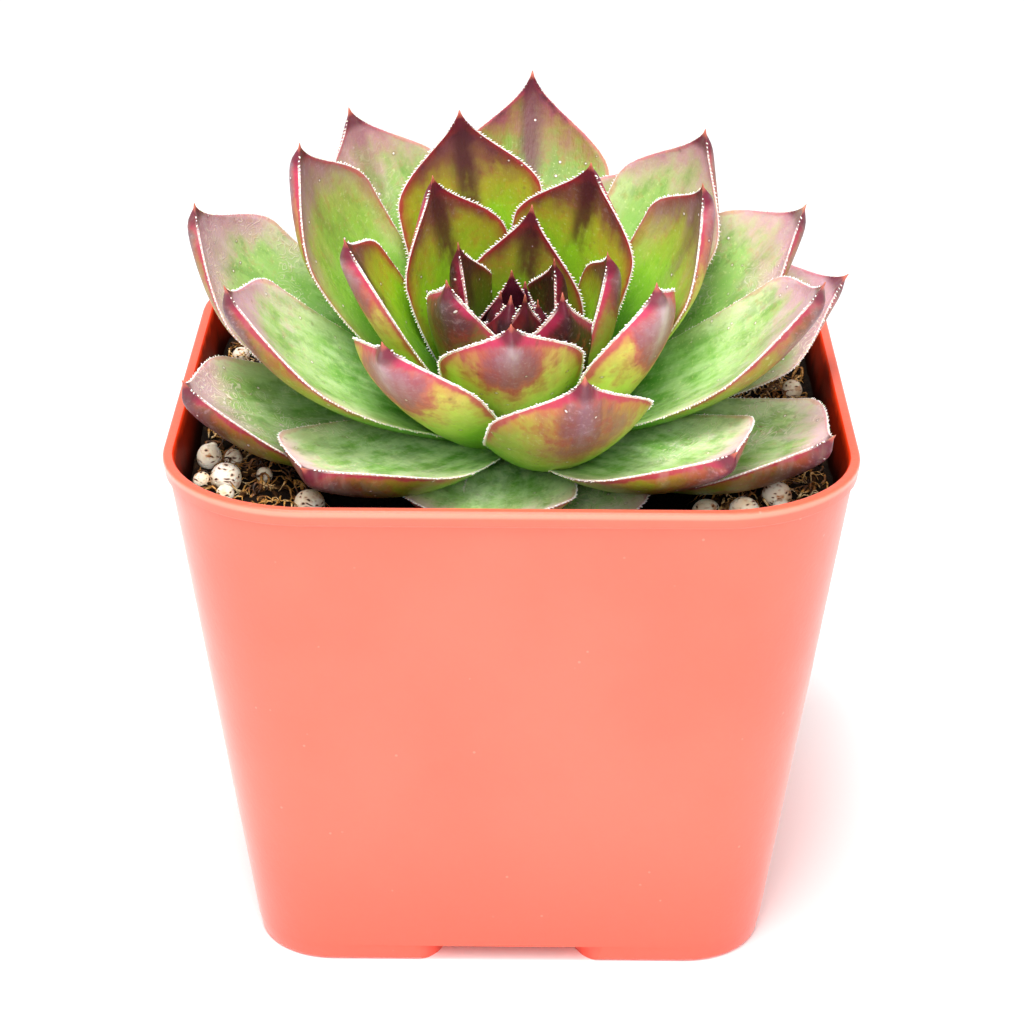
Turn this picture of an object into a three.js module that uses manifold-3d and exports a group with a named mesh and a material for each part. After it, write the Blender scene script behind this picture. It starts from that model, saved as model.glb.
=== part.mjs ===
// Hens and chicks: a houseleek rosette in potting mix, in a square tapered nursery pot.
// Millimetres. +Z is up, the front is -Y, and the origin is under the middle of the pot, on the ground.
import * as THREE from "three";
import { mergeVertices } from "three/addons/utils/BufferGeometryUtils.js";
import Module from "manifold-3d";

const wasm = await Module();
wasm.setup();
const { Manifold, Mesh } = wasm;

// Pot
const RIM_HALF = 31.75; // half the width over the rim: a 2.5 in pot
const POT_HEIGHT = 50.8; // 2 in
const BASE_HALF = 24.3; // half the width at the ground
const LIP_OUT = 0.35; // how far the rim band stands out of the wall
const LIP_TALL = 1.5; // height of the rim band
const LIP_SLOPE = 0.3; // height over which the band steps out
const RIM_CORNER = 13.5; // corner radius in plan, at the rim
const BASE_CORNER = 7.5; // and at the ground
const WALL = 0.7;
const EDGE = 0.35; // rounding of the rim's two edges
const FOOT_TALL = 1.8;
const FOOT_GAP = 12.4; // width of the notch between two feet
const FOOT_END = 4; // plan radius of a foot's inner corner
const FOOT_EDGE = 0.45; // bevel round the sole of a foot
const FOOT_PAST = 0.3; // how far the blocks that shape the feet reach past the wall
const FLOOR = 1.0; // thickness of the floor, which lies on the feet
const FLOOR_BEVEL = { out: 0.5, up: 0.6 }; // between the floor and the wall, inside
const DRAIN_R = 2.2; // drain holes
const DRAIN_AT = 13; // distance of the outer four from the middle
const CORNER_STEPS = 6;
const DRAIN_FACETS = 16;

// Potting mix
const FIT = 0.3; // clearance between pieces that touch
const OVERSHOOT = 0.1; // how far a tool goes past the faces that it cuts or joins
const SAME_POINT = 1e-4; // corners of triangles closer than this are one point
const SOIL_TOP = 46.2;
const LUMP = 0.45; // height of the lumps, either way
const DISH = { x: 0, y: -12, rx: 21.5, ry: 27, floor: 41.8, edge: 0.3 }; // the hollow under the leaves
const HEEL = { in: 0.6, tall: 1 }; // bevel round the bottom of the mix
const SOIL_RINGS = 11;
const SOIL_CROWDING = 1.15; // over 1, the rings of its top lie closer together at the wall
const SOIL_SIDE_STEPS = 5; // facets of the mix along each side of the pot
const GRANULE_FACETS = 12;
const GRANULES = [
  // x, y, how far the centre is above the mix, radius
  [-28.3, -11.3, 0.6, 1.25],
  [-26.3, -16.0, 0.8, 1.45],
  [-28.5, -16.2, 0.3, 0.85],
  [-26.1, -18.8, 0.3, 0.9],
  [-18.3, -20.6, 1.2, 1.4],
  [-26.1, -11.0, 0.4, 0.9],
  [-22.9, -14.4, 0.3, 0.75],
  [17.8, -19.8, 1.0, 1.4],
  [21.0, -22.5, 0.3, 1.45],
  [24.2, -19.0, 0.7, 1.3],
  [24.5, -20.5, 0.5, 0.8],
  [27.6, 6.6, 0.5, 1.0],
  [-27.8, 16.0, 0.2, 0.9],
  [-25.2, 18.2, 0.3, 1.3],
  [-10.5, 27.2, 0.4, 1.3],
  [13.2, 26.4, 0.4, 1.4],
  [22.4, 22.6, 0.3, 1.2],
  [26.4, 15.4, 0.3, 1.3],
];

// Rosette
const CROWN = { x: 0.2, y: -0.4, z: 47.1 }; // where the leaves come together
const LEAN = 21; // degrees that the rosette leans to the front
const GOLDEN = 137.508; // degrees from each leaf to the next
const FIRST = 8.3; // azimuth of leaf 0, degrees anticlockwise from +X
const LEAVES = 46; // numbered from the heart outwards
const SHED = [41, 44]; // old leaves that have withered and come away
const SMALL_LEAVES = 11; // the heart leaves, which get fewer facets
const OLDEST = 42; // the age scale: leaf number / OLDEST
// How a leaf changes with age: [value in the heart, change to the oldest leaf, power of the age]
const GROWTH = {
  foot: [88, -94, 1.2], // slope of the blade at its foot, degrees over the rosette's own plane
  tip: [88, -38, 1.6], // and at its tip
  length: [8, 28, 0.32],
  width: [2.5, 15.1, 0.35],
  thick: [1.3, 1.2, 0.3],
  out: [1, 2.2, 1], // distance of the blade's foot from the axis
  up: [-5, 6.5, 1.1], // and its height over the crown, along the axis
};
const BEND = 2.2; // a blade stays nearly straight, then curls up to its tip
// Where along a blade it is widest: in the heart, in old leaves, and the ages between which that changes
const WIDEST = { young: 0.54, old: 0.71, from: 0.15, to: 0.42 };
const NECK = 0.28; // width at the foot of the blade, as a share of the greatest
const TAPER = 1.65; // how sharply the blade narrows to its spine
const CHANNEL = 0.2; // rise of the margins over the midrib, as a share of the half width
const CHANNEL_FROM = 0.3; // share of the length over which the channel deepens
const MARGIN = 0.6; // thickness at the margin
const SPINE = 0.35; // half the width of a blade at its very tip
const SPINE_TALL = 0.7; // and its thickness there
const FAT = { foot: 0.22, tip: 0.84, power: 0.8 }; // the stretch of a sine wave that thickness follows
const KEEL = 1.5; // near its tip a blade is no thicker than this many half widths
const BELLY = 0.9; // how roundly the underside falls away from the keel
const HEART = { radius: 8.2, up: 3.4, facets: 18 }; // the packed heart that the blades stand out of
const STEM = { top: 3.4, foot: 2.0, long: 14, facets: 14 };
const HOLE = { flare: 1.2, over: 4 }; // the stem's hole in the mix: wider at its top, cut this far past it
// How single leaves stray from the rule, by leaf number from the heart outwards:
// [swing sideways, lift at the foot, curl at the tip, all in degrees, length in percent, twist in degrees]
const STRAY = [
  [0, 0, 0, 0, 0], [0, 0, 0, 0, 0], [7, 0, -1, 20, 0], [0, 4, 0, 0, 0],
  [-1, 7, 3, -3, -1], [3, 7, -1, -11, 2], [-14, 12, -5, -10, -8], [4, 7, 18, -14, -3],
  [-7, 7, 2, -8, -3], [1, 8, -5, -2, 5], [-3, -4, 8, 4, -3], [-4, 9, -6, -6, -7],
  [7, 6, -5, 0, 0], [0, 2, 9, -7, 4], [1, 2, 1, 0, -1], [-2, 2, -8, 5, 7],
  [4, 4, 7, -1, 7], [5, 3, -8, 5, 2], [4, -2, 12, 2, -6], [8, 0, 6, 4, -11],
  [-6, 0, -6, 1, 4], [-3, 0, 16, 6, -1], [9, 0, 14, 17, -1], [-4, -4, 14, 5, -6],
  [-28, -6, 10, 6, -5], [-2, -1, -1, 20, -7], [-4, 0, -2, 21, 2], [6, -5, 1, 3, 4],
  [5, -9, -32, -18, 5], [-20, 0, -4, 2, -4], [1, -2, 19, 15, -7], [-4, 4, -12, 8, -5],
  [-1, -15, 3, 12, 9], [7, 6, -15, -3, 14], [8, -2, -17, -5, 2], [-4, -2, 0, -19, 0],
  [3, 4, -34, -25, 3], [0, 3, 0, -14, 0], [9, 5, 11, -2, 9], [-6, 11, 2, 2, -10],
  [0, -8, -10, -14, 0], [0, 0, 0, 0, 0], [6, -4, -8, -16, 0], [-14, -3, -10, -16, 0],
  [0, 0, 0, 0, 0], [-4, -8, -12, -16, 0],
];

const rad = THREE.MathUtils.degToRad;
const lerp = THREE.MathUtils.lerp;

// A closed manifold-3d solid from points and triangles.
const solid = (points, faces) => {
  const mesh = new Mesh({
    numProp: 3,
    vertProperties: new Float32Array(points.flat()),
    triVerts: new Uint32Array(faces.flat()),
  });
  return new Manifold(mesh);
};

// Rings of equally many points, lowest first and anticlockwise from above, joined and capped.
function loft(rings) {
  const n = rings[0].length;
  const faces = [];
  for (let i = 0; i + 1 < rings.length; i++)
    for (let j = 0; j < n; j++) {
      const a = i * n + j;
      const b = i * n + ((j + 1) % n);
      faces.push([a, b, b + n], [a, b + n, a + n]);
    }
  const last = (rings.length - 1) * n;
  for (let j = 1; j + 1 < n; j++) {
    faces.push([0, j + 1, j]);
    faces.push([last, last + j, last + j + 1]);
  }
  return solid(rings.flat(), faces);
}

// The outline of a square with round corners, at height z, anticlockwise from its +X side.
function roundedSquare(half, corner, z, sideSteps = 1) {
  const points = [];
  const flat = half - corner;
  for (let side = 0; side < 4; side++) {
    const turn = ([x, y]) => [[x, y, z], [-y, x, z], [-x, -y, z], [y, -x, z]][side];
    for (let i = 0; i <= CORNER_STEPS; i++) {
      const a = rad((90 * i) / CORNER_STEPS);
      points.push(turn([flat + corner * Math.cos(a), flat + corner * Math.sin(a)]));
    }
    for (let i = 1; i < sideSteps; i++) points.push(turn([lerp(flat, -flat, i / sideSteps), half]));
  }
  return points;
}

// Half the width over the pot's outer wall at height z.
const wallHalf = (z) => lerp(BASE_HALF, RIM_HALF - LIP_OUT, z / POT_HEIGHT);

// The pot's outer wall at height z, moved in by inset.
function wallRing(z, inset, out = 0, sideSteps = 1) {
  const corner = lerp(BASE_CORNER, RIM_CORNER, z / POT_HEIGHT);
  return roundedSquare(wallHalf(z) + out - inset, corner + out - inset, z, sideSteps);
}

function makePot() {
  const top = POT_HEIGHT;
  const band = top - LIP_TALL;
  const shell = loft([
    wallRing(FOOT_TALL, 0),
    wallRing(band, 0),
    wallRing(band + LIP_SLOPE, 0, LIP_OUT),
    wallRing(top - EDGE, 0, LIP_OUT),
    wallRing(top, EDGE, LIP_OUT),
  ]);
  const inside = loft([
    wallRing(FOOT_TALL + FLOOR, WALL + FLOOR_BEVEL.out),
    wallRing(FOOT_TALL + FLOOR + FLOOR_BEVEL.up, WALL),
    wallRing(top - EDGE, WALL),
    wallRing(top + OVERSHOOT, WALL - EDGE),
  ]);
  let pot = shell.subtract(inside);

  // The feet are what four round-cornered blocks keep of one plinth under the floor.
  const footTop = FOOT_TALL + OVERSHOOT;
  const plinth = loft([wallRing(0, FOOT_EDGE), wallRing(FOOT_EDGE, 0), wallRing(footTop, 0)]);
  const block = (BASE_HALF + FOOT_PAST - FOOT_GAP / 2) / 2; // half a block's width
  const middle = FOOT_GAP / 2 + block;
  for (const sx of [-1, 1])
    for (const sy of [-1, 1]) {
      const keep = loft([-OVERSHOOT, footTop + OVERSHOOT].map((z) => roundedSquare(block, FOOT_END, z)));
      pot = pot.add(plinth.intersect(keep.translate([sx * middle, sy * middle, 0])));
    }

  const drain = Manifold.cylinder(FOOT_TALL + 2 * FLOOR, DRAIN_R, DRAIN_R, DRAIN_FACETS);
  const holes = [[0, 0], [DRAIN_AT, 0], [0, DRAIN_AT], [-DRAIN_AT, 0], [0, -DRAIN_AT]];
  for (const [x, y] of holes) pot = pot.subtract(drain.translate([x, y, 0]));
  return pot;
}

// The height of the mix: a lumpy top with a hollow that the rosette's underside lies in.
function soilHeight(x, y) {
  const lumps =
    Math.sin(0.9 * x + 1.3 * Math.sin(0.5 * y)) * Math.sin(0.8 * y + Math.cos(0.6 * x)) +
    0.5 * Math.sin(2.1 * x + 0.7 * y) * Math.cos(1.7 * y - 0.9 * x);
  const top = SOIL_TOP + (LUMP * lumps) / 1.5;
  const away = Math.hypot((x - DISH.x) / DISH.rx, (y - DISH.y) / DISH.ry);
  const rise = THREE.MathUtils.smoothstep(away, 1 - DISH.edge, 1);
  return lerp(DISH.floor, top, rise);
}

function makeMix() {
  const inset = WALL + FIT;
  const foot = FOOT_TALL + FLOOR + FIT;
  const bottom = wallRing(foot, inset + HEEL.in, 0, SOIL_SIDE_STEPS);
  const heel = wallRing(foot + HEEL.tall, inset, 0, SOIL_SIDE_STEPS);
  const brim = wallRing(SOIL_TOP, inset, 0, SOIL_SIDE_STEPS);
  const rings = [bottom, heel];
  // The top's rings shrink from the wall to a small one in the middle, and keep clear of the sloping wall.
  for (let i = 0; i < SOIL_RINGS; i++) {
    const share = 1 - (i / SOIL_RINGS) ** SOIL_CROWDING;
    const ring = brim.map(([x, y]) => {
      const z = soilHeight(x * share, y * share);
      const drawn = (share * (wallHalf(z) - inset)) / (wallHalf(SOIL_TOP) - inset);
      return [x * drawn, y * drawn, z];
    });
    rings.push(ring);
  }
  let mix = loft(rings);
  for (const [x, y, up, r] of GRANULES) {
    const granule = Manifold.sphere(r, GRANULE_FACETS);
    mix = mix.add(granule.translate([x, y, soilHeight(x, y) + up]));
  }
  return mix;
}

// The rosette's own frame: its axis leans to the front.
const lean = rad(LEAN);
const CROWN_AT = new THREE.Vector3(CROWN.x, CROWN.y, CROWN.z);
const AXIS = new THREE.Vector3(0, -Math.sin(lean), Math.cos(lean));
const RIGHT = new THREE.Vector3(1, 0, 0);
const BACK = new THREE.Vector3().crossVectors(AXIS, RIGHT);

// How leaf k grows: the outer, older leaves are longer, wider and lie flatter.
function habit(k) {
  const [swing, lift, curl, longer, twist] = STRAY[k];
  const age = k / OLDEST;
  const grown = ([young, change, power]) => young + change * age ** power;
  return {
    azimuth: rad(FIRST + GOLDEN * k + swing),
    foot: rad(grown(GROWTH.foot) + lift),
    tip: rad(grown(GROWTH.tip) + curl),
    length: grown(GROWTH.length) * (1 + longer / 100),
    width: grown(GROWTH.width),
    widest: lerp(WIDEST.young, WIDEST.old, THREE.MathUtils.smoothstep(age, WIDEST.from, WIDEST.to)),
    thick: grown(GROWTH.thick),
    out: grown(GROWTH.out),
    up: grown(GROWTH.up),
    twist: rad(twist),
  };
}

// Half width of a blade at s, its share of the way from foot to tip.
function halfWidth(leaf, s) {
  const rise = NECK + (1 - NECK) * Math.sin((Math.PI / 2) * Math.min(s / leaf.widest, 1));
  const fall = Math.cos((Math.PI / 2) * Math.max((s - leaf.widest) / (1 - leaf.widest), 0)) ** TAPER;
  return Math.max((leaf.width / 2) * rise * fall, SPINE);
}

// Thickness of a blade over its midrib at s.
function thickness(leaf, s) {
  const plump = leaf.thick * Math.sin(Math.PI * lerp(FAT.foot, FAT.tip, s)) ** FAT.power;
  return Math.max(plump * Math.tanh((KEEL * halfWidth(leaf, s)) / plump), SPINE_TALL);
}

// The steps in which a blade's midrib is walked, its stations, closer together towards the tip, and its
// points across.
const STEPS = 60;
const STATIONS = [0, 0.3, 0.52, 0.71, 0.8, 0.87, 0.92, 0.96, 1];
const SMALL_STATIONS = [0, 0.4, 0.7, 0.86, 1];
const ACROSS = [-1, -0.5, 0, 0.5, 1];
const SMALL_ACROSS = [-1, 0, 1];

function makeLeaf(k) {
  const leaf = habit(k);
  const away = RIGHT.clone().multiplyScalar(Math.cos(leaf.azimuth));
  away.addScaledVector(BACK, Math.sin(leaf.azimuth));
  const around = new THREE.Vector3().crossVectors(AXIS, away);
  const small = k < SMALL_LEAVES;
  const stations = small ? SMALL_STATIONS : STATIONS;
  const across = small ? SMALL_ACROSS : ACROSS;
  const rings = [];
  let r = leaf.out;
  let h = leaf.up;
  let at = 0;
  for (let i = 0; i <= STEPS; i++) {
    const s = i / STEPS;
    const angle = leaf.foot + (leaf.tip - leaf.foot) * s ** BEND;
    if (s >= stations[at] - 0.5 / STEPS) {
      at++;
      const mid = CROWN_AT.clone().addScaledVector(away, r).addScaledVector(AXIS, h);
      const up = away.clone().multiplyScalar(-Math.sin(angle)).addScaledVector(AXIS, Math.cos(angle));
      const turn = leaf.twist * s;
      const side = around.clone().multiplyScalar(Math.cos(turn)).addScaledVector(up, Math.sin(turn));
      const face = up.clone().multiplyScalar(Math.cos(turn)).addScaledVector(around, -Math.sin(turn));
      const half = halfWidth(leaf, s);
      const deep = thickness(leaf, s);
      const edge = Math.min(MARGIN, deep);
      const rise = CHANNEL * half * THREE.MathUtils.clamp(s / CHANNEL_FROM, CHANNEL_FROM, 1);
      const put = (v, drop) =>
        mid.clone().addScaledVector(side, v * half).addScaledVector(face, rise * v * v - drop);
      const upper = across.map((v) => put(v, 0));
      const lower = across.map((v) => put(v, edge + (deep - edge) * (1 - v * v) ** BELLY));
      rings.push([...lower, ...upper.reverse()].map((p) => p.toArray()));
    }
    r += (Math.cos(angle) * leaf.length) / STEPS;
    h += (Math.sin(angle) * leaf.length) / STEPS;
  }
  return loft(rings);
}

function makeRosette() {
  const leaves = [];
  for (let k = 0; k < LEAVES; k++) if (!SHED.includes(k)) leaves.push(makeLeaf(k));
  const stem = Manifold.cylinder(STEM.long, STEM.foot, STEM.top, STEM.facets).translate([
    CROWN.x,
    CROWN.y,
    CROWN.z - STEM.long,
  ]);
  const heart = Manifold.sphere(HEART.radius, HEART.facets)
    .translate([0, 0, HEART.up])
    .rotate([LEAN, 0, 0])
    .translate([CROWN.x, CROWN.y, CROWN.z]);
  return Manifold.union([stem, heart, ...leaves]);
}

const pot = makePot();
const rosette = makeRosette();
const hole = Manifold.cylinder(
  STEM.long + HOLE.over,
  STEM.foot + FIT,
  STEM.top + HOLE.flare,
  STEM.facets,
).translate([CROWN.x, CROWN.y, CROWN.z - STEM.long - FIT]);
const mix = makeMix().subtract(hole);

function toMesh(name, body, color, roughness) {
  const { vertProperties, triVerts } = body.getMesh();
  let geometry = new THREE.BufferGeometry();
  geometry.setAttribute("position", new THREE.BufferAttribute(vertProperties, 3));
  geometry.setIndex(new THREE.BufferAttribute(triVerts, 1));
  geometry = mergeVertices(geometry, SAME_POINT);
  geometry.computeVertexNormals();
  const mesh = new THREE.Mesh(geometry, new THREE.MeshStandardMaterial({ color, roughness }));
  mesh.name = name;
  return mesh;
}

const group = new THREE.Group();
group.name = "hens_and_chicks";
group.add(toMesh("pot", pot, 0xff8e76, 0.45));
group.add(toMesh("potting_mix", mix, 0x3a2616, 0.95));
group.add(toMesh("rosette", rosette, 0x7fae4a, 0.5));

export default group;
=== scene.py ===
import math
import random

import bmesh
import bpy
import numpy as np
from mathutils import Matrix, Vector, noise


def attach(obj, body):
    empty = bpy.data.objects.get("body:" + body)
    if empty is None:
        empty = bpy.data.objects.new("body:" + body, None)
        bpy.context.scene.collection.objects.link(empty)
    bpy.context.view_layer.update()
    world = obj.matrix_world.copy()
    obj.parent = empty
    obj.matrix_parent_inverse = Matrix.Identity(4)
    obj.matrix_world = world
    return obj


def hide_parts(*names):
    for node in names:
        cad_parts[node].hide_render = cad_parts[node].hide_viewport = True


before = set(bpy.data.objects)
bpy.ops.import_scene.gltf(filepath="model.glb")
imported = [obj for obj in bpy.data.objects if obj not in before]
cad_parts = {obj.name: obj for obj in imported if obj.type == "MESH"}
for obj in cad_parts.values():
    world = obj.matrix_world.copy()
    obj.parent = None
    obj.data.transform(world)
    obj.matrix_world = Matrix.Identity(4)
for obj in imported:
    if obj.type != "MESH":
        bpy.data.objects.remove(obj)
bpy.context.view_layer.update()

MM = 0.001
GRID = 1000  # texture units per metre: object coordinates times this are millimetres
SEED = 20

# The camera: a long lens that looks down at the pot's front
LENS = 104.3
SENSOR = 36  # width
CAMERA_AT = (1.38, -265.74, 157.78)
CAMERA_ELEVATION = 24.56  # degrees, like the next two
CAMERA_YAW = 0.30
CAMERA_ROLL = 0.28

# Pot
RIM_HALF = 31.75  # half the width over the rim
POT_HEIGHT = 50.8
BASE_HALF = 24.3  # half the width at the ground
LIP_OUT = 0.35  # how far the rim band stands out of the wall
LIP_TALL = 1.5
RIM_CORNER = 13.5  # corner radius in plan
BASE_CORNER = 7.5
WALL = 0.7
EDGE = 0.35  # rounding of the rim's two edges
FOOT_TALL = 1.8
FOOT_GAP = 12.4  # width of the notch between two feet
FOOT_END = 4  # plan radius of a foot's inner corner
FOOT_EDGE = 0.45  # rounding round the sole of a foot
FOOT_IN = 0.08  # a foot lies this much inside the wall, so that the two join cleanly
FOOT_PAST = 0.3  # how far the blocks that shape the feet reach past the wall
FLOOR = 1.0
FLOOR_BEVEL = dict(out=0.5, up=0.6)  # between the floor and the wall, inside
DRAIN_R = 2.2
DRAIN_AT = 13  # distance of the outer four holes from the middle
DRAIN_POINTS = 40
WALL_RINGS = 12
CORNER_STEPS = 14
POT_SHARP = 32  # degrees: edges sharper than this aren't shaded smooth

# Potting mix
FIT = 0.3  # gap between the pot and the mix
SOIL_TOP = 46.2
LUMP = 0.45  # height of the coarse lumps
DISH = dict(x=0, y=-12, rx=21.5, ry=27, floor=41.8, edge=0.3)  # the hollow under the leaves
SOIL_RINGS = 70
SOIL_POINTS = 220  # round each ring
SOIL_REACH = 29  # loose things lie within this of the middle, along X and Y
SOIL_CORNER = dict(at=17.5, radius=11.2)  # and in a corner within the radius of (at, at)
FIBRES = 2700
FIBRE_STEPS = 8
CRUMBS = 420
CRUMB_SHARP = 40  # degrees
SMALL_GRANULES = 34
# The larger granules: (x, y, height of the middle over the mix, radius)
GRANULES = [
    (-28.3, -11.3, 0.6, 1.25), (-26.3, -16.0, 0.8, 1.45), (-28.5, -16.2, 0.3, 0.85),
    (-26.1, -18.8, 0.3, 0.9), (-18.3, -20.6, 1.2, 1.4), (-26.1, -11.0, 0.4, 0.9),
    (-22.9, -14.4, 0.3, 0.75), (17.8, -19.8, 1.0, 1.4), (21.0, -22.5, 0.3, 1.45),
    (24.2, -19.0, 0.7, 1.3), (24.5, -20.5, 0.5, 0.8), (27.6, 6.6, 0.5, 1.0),
    (-27.8, 16.0, 0.2, 0.9), (-25.2, 18.2, 0.3, 1.3), (-10.5, 27.2, 0.4, 1.3),
    (13.2, 26.4, 0.4, 1.4), (22.4, 22.6, 0.3, 1.2), (26.4, 15.4, 0.3, 1.3),
]

# Rosette
CROWN_AT = np.array([0.2, -0.4, 47.1])
LEAN = math.radians(21)  # the rosette's axis leans towards the front
GOLDEN = 137.508  # degrees from one leaf to the next
FIRST = 8.3  # direction of leaf 0, in degrees
LEAVES = 46  # numbered from the heart outwards
SHED = (41, 44)  # old leaves that have withered and come away
OLDEST = 42  # the leaf whose age is 1
OUTER_FROM = 22  # the first leaf of the outer piece
GROWTH = dict(  # value in the heart, change to the oldest leaf, power of the age
    foot=(88, -94, 1.2),
    tip=(88, -38, 1.6),
    length=(8, 28, 0.32),
    width=(2.5, 15.1, 0.35),
    thick=(1.3, 1.2, 0.3),
    out=(1, 2.2, 1),
    up=(-5, 6.5, 1.1),
)
BEND = 2.2  # a blade stays nearly straight, then curls up to its tip
WIDEST = dict(young=0.54, old=0.71, start=0.15, end=0.42)  # and the ages between which it changes
NECK = 0.28  # width at the foot of the blade, as a share of the greatest
TAPER = 1.65  # how sharply the blade narrows to its spine
CHANNEL = 0.2  # how deep the upper face is hollow, as a share of the half width
CHANNEL_FROM = 0.3  # the share of the length where the hollow is at its full depth
THIN_MARGIN = 0.16  # thickness at the margin
SPINE = 0.24  # half the width of the spine at its foot
SPINE_LONG = 2.4
FAT = dict(foot=0.22, tip=0.84, power=0.8)  # how the thickness goes along the blade
KEEL = 1.5  # near its tip a blade is no thicker than this many half widths
BELLY = 0.9  # how full the lower face is: 1 is a parabola
HEART_RADIUS = 7.6
HEART_UP = 3.2
STEM_TOP, STEM_FOOT, STEM_LONG = 3.4, 2.0, 14
STEPS = 60  # steps along a blade
BLADE_COLUMNS = 19  # points across each face of a blade
MARGIN_STEPS = 5  # points round its margin
TEETH_FROM = 0.22  # the share of a margin's length, from the foot, that has no teeth
TEETH_STOP = 1.2  # how far short of the tip they end
# How single leaves stray from the rule, by leaf number from the heart outwards: (swing sideways,
# lift at the foot, curl at the tip, all in degrees, length in percent, twist in degrees)
STRAY = [
    (0, 0, 0, 0, 0), (0, 0, 0, 0, 0), (7, 0, -1, 20, 0), (0, 4, 0, 0, 0),
    (-1, 7, 3, -3, -1), (3, 7, -1, -11, 2), (-14, 12, -5, -10, -8), (4, 7, 18, -14, -3),
    (-7, 7, 2, -8, -3), (1, 8, -5, -2, 5), (-3, -4, 8, 4, -3), (-4, 9, -6, -6, -7),
    (7, 6, -5, 0, 0), (0, 2, 9, -7, 4), (1, 2, 1, 0, -1), (-2, 2, -8, 5, 7),
    (4, 4, 7, -1, 7), (5, 3, -8, 5, 2), (4, -2, 12, 2, -6), (8, 0, 6, 4, -11),
    (-6, 0, -6, 1, 4), (-3, 0, 16, 6, -1), (9, 0, 14, 17, -1), (-4, -4, 14, 5, -6),
    (-28, -6, 10, 6, -5), (-2, -1, -1, 20, -7), (-4, 0, -2, 21, 2), (6, -5, 1, 3, 4),
    (5, -9, -32, -18, 5), (-20, 0, -4, 2, -4), (1, -2, 19, 15, -7), (-4, 4, -12, 8, -5),
    (-1, -15, 3, 12, 9), (7, 6, -15, -3, 14), (8, -2, -17, -5, 2), (-4, -2, 0, -19, 0),
    (3, 4, -34, -25, 3), (0, 3, 0, -14, 0), (9, 5, 11, -2, 9), (-6, 11, 2, 2, -10),
    (0, -8, -10, -14, 0), (0, 0, 0, 0, 0), (6, -4, -8, -16, 0), (-14, -3, -10, -16, 0),
    (0, 0, 0, 0, 0), (-4, -8, -12, -16, 0),
]


def lerp(a, b, t):
    return a + (b - a) * t


def smoothstep(x, low, high):
    t = np.clip((x - low) / (high - low), 0, 1)
    return t * t * (3 - 2 * t)


def linear(screen):
    c = screen / 255
    return c / 12.92 if c <= 0.04045 else ((c + 0.055) / 1.055) ** 2.4


def srgb(red, green, blue):
    """A screen colour, 0 to 255, as the linear colour that a shader takes."""
    return (linear(red), linear(green), linear(blue))


# ---- materials


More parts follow.
